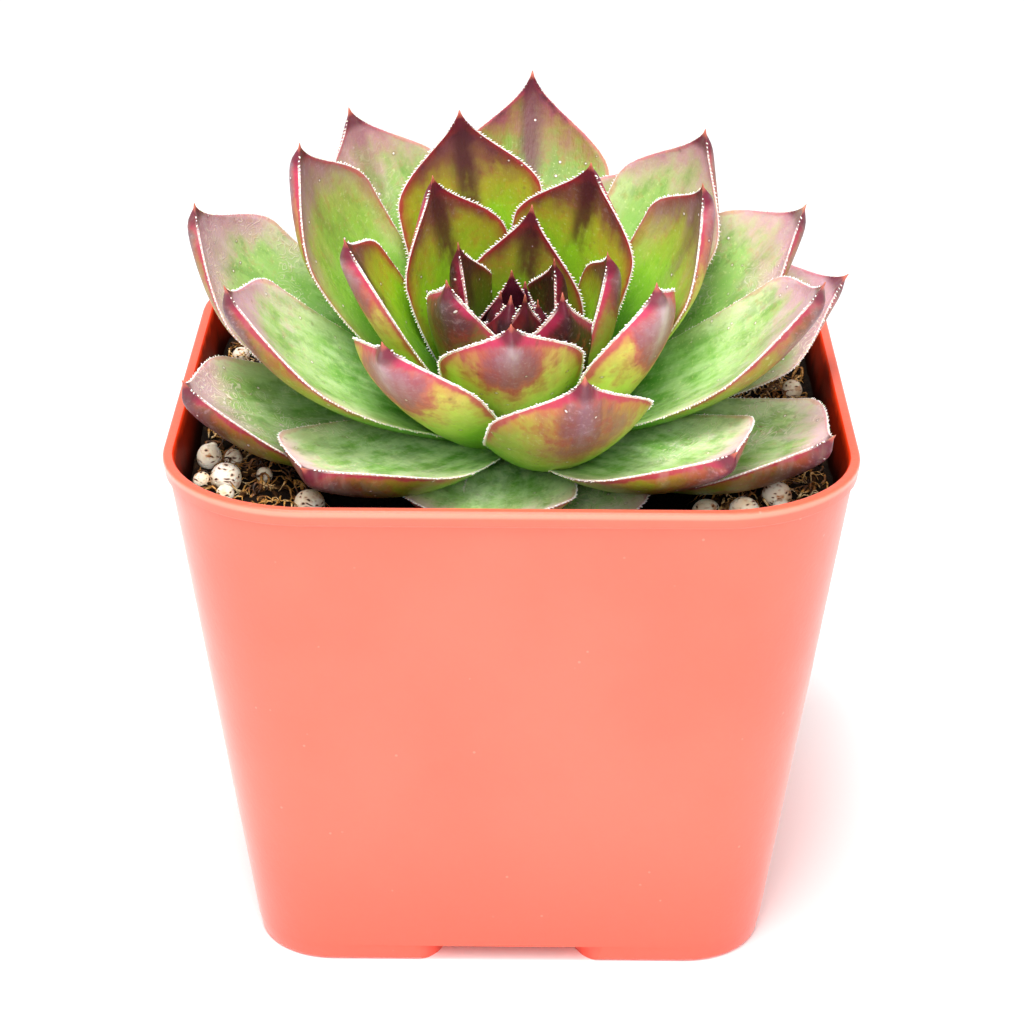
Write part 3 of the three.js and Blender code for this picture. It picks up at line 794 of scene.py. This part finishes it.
def even_steps(outline, count):
    """A closed outline with its points spread in equal steps all round."""
    closed = np.vstack([outline, outline[:1]])
    run = along_line(closed)
    at = np.linspace(0, run[-1], count, endpoint=False)
    return np.stack([np.interp(at, run, closed[:, i]) for i in range(3)], 1)


def make_soil(material):
    """The mix: up along the pot's wall, then rings that shrink to the middle over its top."""
    inset = WALL + FIT
    brim = even_steps(wall_ring(SOIL_TOP, inset), SOIL_POINTS)
    base = brim * (BASE_HALF - 0.8) / RIM_HALF
    # On the floor, a little under the top, then over it
    rings = [base * (1, 1, 0) + (0, 0, FOOT_TALL + FLOOR + FIT), brim * (0.985, 0.985, 0) + (0, 0, 41)]
    for i in range(SOIL_RINGS):
        share = 1 - (i / SOIL_RINGS) ** 1.1
        ring = brim * (share, share, 0)
        for point in ring:
            x, y, _ = point
            point[2] = soil_height(x, y) + (crumb(x, y) if i else 0)
            point[:2] *= (wall_half(point[2]) - inset) / (wall_half(SOIL_TOP) - inset)
        rings.append(ring)
    return solid_of(rings).piece("soil", material)


def tube(shape, path, widths, sides=4):
    """A thin flat strand along path with a radius at each point."""
    path = np.asarray(path)
    ahead = np.gradient(path, axis=0)
    ahead /= np.linalg.norm(ahead, axis=1)[:, None] + 1e-9
    across = np.cross(ahead, (0.3, 0.2, 0.93))
    across /= np.linalg.norm(across, axis=1)[:, None] + 1e-9
    other = np.cross(ahead, across)
    turns = np.linspace(0, 2 * math.pi, sides, endpoint=False)
    rings = [
        p + w * (np.outer(np.cos(turns), a) + 0.5 * np.outer(np.sin(turns), o))
        for p, w, a, o in zip(path, widths, across, other)
    ]
    shape.add(np.concatenate(rings), loft_faces(len(rings), sides))


def open_ground(rng):
    """A place on the mix, outside the hollow that the lowest leaves cover."""
    while True:
        x, y = rng.uniform(-SOIL_REACH, SOIL_REACH), rng.uniform(-SOIL_REACH, SOIL_REACH)
        past = max(abs(x) - SOIL_CORNER["at"], 0) ** 2 + max(abs(y) - SOIL_CORNER["at"], 0) ** 2
        if past < SOIL_CORNER["radius"] ** 2 and off_dish(x, y) > 0.85:
            return x, y


def make_fibres(material):
    """Curly coir fibres that arch out of the mix."""
    rng = random.Random(SEED)
    shape = Shape()
    for _ in range(FIBRES):
        x, y = open_ground(rng)
        heading = rng.uniform(0, 2 * math.pi)
        turn = rng.gauss(0, 0.55)
        step = rng.uniform(0.16, 0.42)
        width = rng.uniform(0.05, 0.14)
        hump = 1.1 * rng.random() ** 2
        path, widths = [], []
        for i in range(FIBRE_STEPS + 1):
            t = i / FIBRE_STEPS
            z = soil_height(x, y) + crumb(x, y) + 0.12 + hump * math.sin(math.pi * t)
            path.append((x, y, z))
            widths.append(width * (0.35 + math.sin(math.pi * (0.1 + 0.8 * t))))
            heading += turn + rng.gauss(0, 0.25)
            x = min(max(x + step * math.cos(heading), -SOIL_REACH), SOIL_REACH)
            y = min(max(y + step * math.sin(heading), -SOIL_REACH), SOIL_REACH)
        tube(shape, path, widths)
    return shape.piece("coir_fibres", material)


def ball(steps):
    """Points and faces of an icosphere."""
    made = bmesh.new()
    bmesh.ops.create_icosphere(made, subdivisions=steps, radius=1)
    points = np.array([v.co for v in made.verts])
    faces = [[v.index for v in f.verts] for f in made.faces]
    made.free()
    return points, faces


def swelling(points, amount, scale, seed):
    """A factor for each point of a ball, which makes it lumpy."""
    return np.array([[1 + amount * noise.noise(Vector(p) * scale + Vector(seed))] for p in points])


def make_crumbs(material):
    """Bark and peat crumbs: small broken blocks."""
    rng = random.Random(SEED + 1)
    shape = Shape()
    points, faces = ball(2)
    for _ in range(CRUMBS):
        x, y = open_ground(rng)
        size = np.array([rng.uniform(0.25, 0.9), rng.uniform(0.2, 0.6), rng.uniform(0.12, 0.35)])
        turn = Matrix.Rotation(rng.uniform(0, 6.3), 3, "Z") @ Matrix.Rotation(rng.gauss(0, 0.5), 3, "X")
        put = (points * swelling(points, 0.5, 1.6, (x, y, 0)) * size) @ np.array(turn).T
        shape.add(put + (x, y, soil_height(x, y) + crumb(x, y) + 0.1), faces)
    return shape.piece("bark_crumbs", material, CRUMB_SHARP)


def make_granules(material):
    """The larger granules in their places, and small ones strewn between them."""
    rng = random.Random(SEED + 2)
    shape = Shape()
    points, faces = ball(4)
    small = [(*open_ground(rng), 0.05, rng.uniform(0.25, 0.6)) for _ in range(SMALL_GRANULES)]
    for x, y, up, radius in GRANULES + small:
        stretch = np.array([rng.uniform(0.93, 1.06), rng.uniform(0.93, 1.06), rng.uniform(0.92, 1.04)])
        put = points * swelling(points, 0.05, 1.4, (x, y, 1)) * stretch * radius
        shape.add(put + (x, y, soil_height(x, y) + up), faces)
    return shape.piece("granules", material)


# ---- rosette

AXIS = np.array([0, -math.sin(LEAN), math.cos(LEAN)])
RIGHT = np.array([1.0, 0, 0])
BACK = np.cross(AXIS, RIGHT)


class Leaf:
    """How leaf k grows, and its blade's middle line, frame and section at each step from foot to tip.

    The line is walked in the plane through the rosette's axis: r is out from it and h is up along it."""

    def __init__(self, k):
        swing, lift, curl, longer, twist = STRAY[k]
        self.k = k
        self.age = k / OLDEST
        azimuth = math.radians(FIRST + GOLDEN * k + swing)
        foot = math.radians(self.grown("foot") + lift)
        tip = math.radians(self.grown("tip") + curl)
        self.length = self.grown("length") * (1 + longer / 100)
        self.backness = 0.5 + 0.5 * math.sin(azimuth)  # 1 at the back of the rosette, 0 at the front
        out_way = math.cos(azimuth) * RIGHT + math.sin(azimuth) * BACK
        round_way = np.cross(AXIS, out_way)
        self.s = s = np.linspace(0, 1, STEPS + 1)
        angle = foot + (tip - foot) * s ** BEND
        step = self.length / STEPS
        r = self.grown("out") + np.concatenate([[0], np.cumsum(np.cos(angle[:-1]))]) * step
        h = self.grown("up") + np.concatenate([[0], np.cumsum(np.sin(angle[:-1]))]) * step
        self.middle = CROWN_AT + np.outer(r, out_way) + np.outer(h, AXIS)
        up = np.outer(-np.sin(angle), out_way) + np.outer(np.cos(angle), AXIS)
        turn = (math.radians(twist) * s)[:, None]
        self.side = np.cos(turn) * round_way + np.sin(turn) * up
        self.face = np.cos(turn) * up - np.sin(turn) * round_way
        widest = lerp(WIDEST["young"], WIDEST["old"], smoothstep(self.age, WIDEST["start"], WIDEST["end"]))
        rise = NECK + (1 - NECK) * np.sin(math.pi / 2 * np.minimum(s / widest, 1))
        fall = np.cos(math.pi / 2 * np.maximum((s - widest) / (1 - widest), 0)) ** TAPER
        spine = SPINE * np.clip((1 - s) * self.length / SPINE_LONG, 0, 1) ** 0.8 + 0.03
        self.half = np.maximum(self.grown("width") / 2 * rise * fall, spine)
        plump = self.grown("thick") * np.sin(math.pi * lerp(FAT["foot"], FAT["tip"], s)) ** FAT["power"]
        self.deep = plump * np.tanh(KEEL * self.half / plump)
        self.rise = CHANNEL * self.half * np.clip(s / CHANNEL_FROM, CHANNEL_FROM, 1)

    def grown(self, what):
        young, change, power = GROWTH[what]
        return young + change * self.age ** power

    def put(self, v, drop):
        """Points at share v of the half width, drop under the upper face."""
        out = self.side * (v * self.half)[:, None]
        return self.middle + out + self.face * (self.rise * np.minimum(v * v, 1) - drop)[:, None]


def blade_columns(leaf):
    """A blade's lines from foot to tip, round its section: the lower face, one margin, the upper face
    and the other margin. Each is (share of the half width, drop, 1 on top and 0 below)."""
    edge = np.minimum(THIN_MARGIN, leaf.deep)
    ripple = 0.05 * np.sin(2.2 * leaf.s * leaf.length / 3 + leaf.k)
    bulge = 0.4 * edge / leaf.half  # how far the round margin stands out, as a share of the half width
    columns = []
    for t in np.linspace(-1, 1, BLADE_COLUMNS):
        v = math.sin(math.pi / 2 * t)
        columns.append((v, edge + (leaf.deep - edge) * (1 - v * v) ** BELLY, 0.0))
    for c, s in bent(-60, 60, MARGIN_STEPS):
        columns.append((1 + bulge * c, edge * (0.5 - 0.5 * s), 0.5 + s / 2))
    for v in np.linspace(1, -1, BLADE_COLUMNS):
        columns.append((v, ripple * (1 - v * v), 1.0))
    for c, s in bent(60, -60, MARGIN_STEPS):
        columns.append((-1 - bulge * c, edge * (0.5 - 0.5 * s), 0.5 + s / 2))
    return columns


def make_blades(name, leaves, material):
    """The blades, with what the leaf material reads at each point, in millimetres or 0 to 1:

    grain: from the midrib, from the foot, and a number of the leaf's and face's own
    form: age, distance from the margin, and 1 on top and 0 below
    reach: share of the length, distance from the tip, and the leaf's sun"""
    shape = Shape()
    for leaf in leaves:
        columns = blade_columns(leaf)
        points = np.zeros((STEPS + 1, len(columns), 3))
        grain = np.zeros_like(points)
        form = np.zeros_like(points)
        reach = np.zeros_like(points)
        for j, (v, drop, side) in enumerate(columns):
            v = np.broadcast_to(v, leaf.s.shape)
            flat = np.zeros_like(v)
            own = leaf.k * 13 + side * 5  # sets the leaves' and the two faces' noises apart
            points[:, j] = leaf.put(v, drop)
            grain[:, j] = np.stack([v * leaf.half, leaf.s * leaf.length, flat + own], 1)
            form[:, j] = np.stack([flat + leaf.age, np.maximum(1 - abs(v), 0) * leaf.half, flat + side], 1)
            reach[:, j] = np.stack([leaf.s, (1 - leaf.s) * leaf.length, flat + leaf.backness], 1)
        tags = dict(grain=grain.reshape(-1, 3), form=form.reshape(-1, 3), reach=reach.reshape(-1, 3))
        shape.add(points.reshape(-1, 3), loft_faces(STEPS + 1, len(columns)), **tags)
    return shape.piece(name, material)


def add_tooth(shape, root, way, face, long, thick):
    """A blunt square tooth from just under root along way."""
    across = np.cross(way, face)
    across /= np.linalg.norm(across)
    other = np.cross(way, across)
    turns = np.radians((45, 135, 225, 315))
    section = np.outer(np.cos(turns), across) + np.outer(np.sin(turns), other)
    taper = ((0, 1.1), (0.55, 0.9), (1, 0.4))  # share of the length, share of the thickness
    rings = [root + way * (long * t - 0.06) + thick * w * section for t, w in taper]
    shape.add(np.concatenate(rings), loft_faces(len(taper), len(turns)))


def make_cilia(name, leaves, material):
    """Short white teeth along both margins of each blade, further apart and shorter on old ones."""
    rng = random.Random(SEED + 3)
    shape = Shape()
    for leaf in leaves:
        old = smoothstep(leaf.age, 0.42, 0.62)
        for sign in (-1, 1):
            line = leaf.put(sign * np.ones_like(leaf.s), THIN_MARGIN * 0.5)
            run = along_line(line)
            at = run[-1] * TEETH_FROM
            while at < run[-1] - TEETH_STOP:
                i = min(int(np.searchsorted(run, at)), STEPS)
                t = (at - run[i - 1]) / (run[i] - run[i - 1])
                ahead = (line[i] - line[i - 1]) / (run[i] - run[i - 1])
                way = sign * leaf.side[i] + ahead * rng.gauss(0.2, 0.22)
                way += leaf.face[i] * rng.gauss(0.15, 0.25)
                way /= np.linalg.norm(way)
                long = rng.uniform(0.24, 0.4) * lerp(1, 0.85, old)
                thick = rng.uniform(0.065, 0.095)
                add_tooth(shape, lerp(line[i - 1], line[i], t), way, leaf.face[i], long, thick)
                at += rng.uniform(0.26, 0.4) * lerp(1, 1.15, old)
    return shape.piece(name, material)


def heart_tags(points):
    """What the leaf material reads on the heart and stem: a young leaf's foot, far from its margins."""
    flat = np.zeros_like(points)
    return dict(grain=points, form=flat + (0.05, 3.0, 0.0), reach=flat + (0.2, 9.0, 0.5))


def make_heart(material):
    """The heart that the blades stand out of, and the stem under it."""
    shape = Shape()
    points, faces = ball(4)
    heart = points * HEART_RADIUS + (CROWN_AT + AXIS * HEART_UP)
    shape.add(heart, faces, **heart_tags(heart))
    turns = np.linspace(0, 2 * math.pi, 24, endpoint=False)
    rings = []
    for t in np.linspace(0, 1, 8):
        circle = np.stack([np.cos(turns), np.sin(turns), 0 * turns], 1)
        rings.append(CROWN_AT + circle * lerp(STEM_FOOT, STEM_TOP, t) - (0, 0, STEM_LONG * (1 - t)))
    stem = np.concatenate(rings)
    shape.add(stem, loft_faces(len(rings), len(turns)), **heart_tags(stem))
    return shape.piece("heart_and_stem", material)


# ---- light and camera


AIM = (0, 0, 0.045)  # metres, in the plant's middle
WORLD_LIGHT = 0.5
SOFTBOXES = [  # name, place in metres, size in metres, power in watts
    ("overhead_softbox", (-0.06, -0.12, 0.55), 0.30, 3.6),
    ("front_softbox", (0.03, -0.50, 0.45), 0.45, 3.0),
]
FLOOR_HALF = 2500  # mm


def area_light(name, at, size, power):
    data = bpy.data.lights.new(name, "AREA")
    data.shape = "SQUARE"
    data.size = size
    data.energy = power
    light = bpy.data.objects.new(name, data)
    light.location = at
    light.visible_camera = False
    light.rotation_mode = "QUATERNION"
    light.rotation_quaternion = (Vector(at) - Vector(AIM)).to_track_quat("Z", "Y")
    bpy.context.scene.collection.objects.link(light)


def make_studio():
    """White surroundings, two soft lights and a pale floor."""
    world = bpy.data.worlds.new("studio")
    world.use_nodes = True
    background = world.node_tree.nodes["Background"]
    background.inputs["Color"].default_value = (1, 1, 1, 1)
    background.inputs["Strength"].default_value = WORLD_LIGHT
    bpy.context.scene.world = world
    for softbox in SOFTBOXES:
        area_light(*softbox)

    g = Graph("pale_floor")
    at = g.position()
    colour = g.mix(g.noise(at, 0.02, 2), srgb(248, 248, 248), srgb(252, 252, 252))
    material = g.finish(colour, 0.85)
    shape = Shape()
    corners = [(-1, -1, 0), (1, -1, 0), (1, 1, 0), (-1, 1, 0)]
    shape.add(np.array(corners) * FLOOR_HALF, [(0, 1, 2, 3)])
    floor = shape.piece("floor", material)
    bpy.context.scene.view_settings.view_transform = "Standard"


def make_camera():
    """The photograph's camera."""
    yaw, tilt, roll = (math.radians(a) for a in (CAMERA_YAW, CAMERA_ELEVATION, CAMERA_ROLL))
    right = Vector((math.cos(yaw), math.sin(yaw), 0))
    back = Vector((math.sin(yaw) * math.cos(tilt), -math.cos(yaw) * math.cos(tilt), math.sin(tilt)))
    up = back.cross(right)
    rolled_right = right * math.cos(roll) + up * math.sin(roll)
    rolled_up = up * math.cos(roll) - right * math.sin(roll)
    data = bpy.data.cameras.new("camera")
    data.lens = LENS
    data.sensor_width = SENSOR
    camera = bpy.data.objects.new("camera", data)
    turned = Matrix((rolled_right, rolled_up, back)).transposed().to_4x4()
    camera.matrix_world = Matrix.Translation(Vector(CAMERA_AT) * MM) @ turned
    bpy.context.scene.collection.objects.link(camera)
    bpy.context.scene.camera = camera


make_camera()
make_studio()

pot = make_pot(pot_material())
soil = make_soil(mix_material("potting_mix", srgb(9, 5, 3), srgb(24, 14, 7), srgb(58, 36, 16)))
fibres = make_fibres(fibre_material())
crumbs = make_crumbs(mix_material("bark", srgb(14, 8, 4), srgb(72, 44, 20), srgb(186, 146, 94)))
granules = make_granules(granule_material())

leaf_look = leaf_material()
hair_look = hair_material()
leaves = [Leaf(k) for k in range(LEAVES) if k not in SHED]
inner = [leaf for leaf in leaves if leaf.k < OUTER_FROM]
outer = [leaf for leaf in leaves if leaf.k >= OUTER_FROM]
inner_blades = make_blades("inner_blades", inner, leaf_look)
outer_blades = make_blades("outer_blades", outer, leaf_look)
inner_cilia = make_cilia("inner_cilia", inner, hair_look)
outer_cilia = make_cilia("outer_cilia", outer, hair_look)
heart = make_heart(leaf_look)

PIECES = [
    (pot, "pot_plastic", "pot"),
    (soil, "mix", "potting_mix"),
    (fibres, "mix", "potting_mix"),
    (crumbs, "mix", "potting_mix"),
    (granules, "mix", "potting_mix"),
    (inner_blades, "leaf", "rosette"),
    (outer_blades, "leaf", "rosette"),
    (inner_cilia, "leaf", "rosette"),
    (outer_cilia, "leaf", "rosette"),
    (heart, "leaf", "rosette"),
]
for piece, slot, node in PIECES:
    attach(piece, "root")
    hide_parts(node)
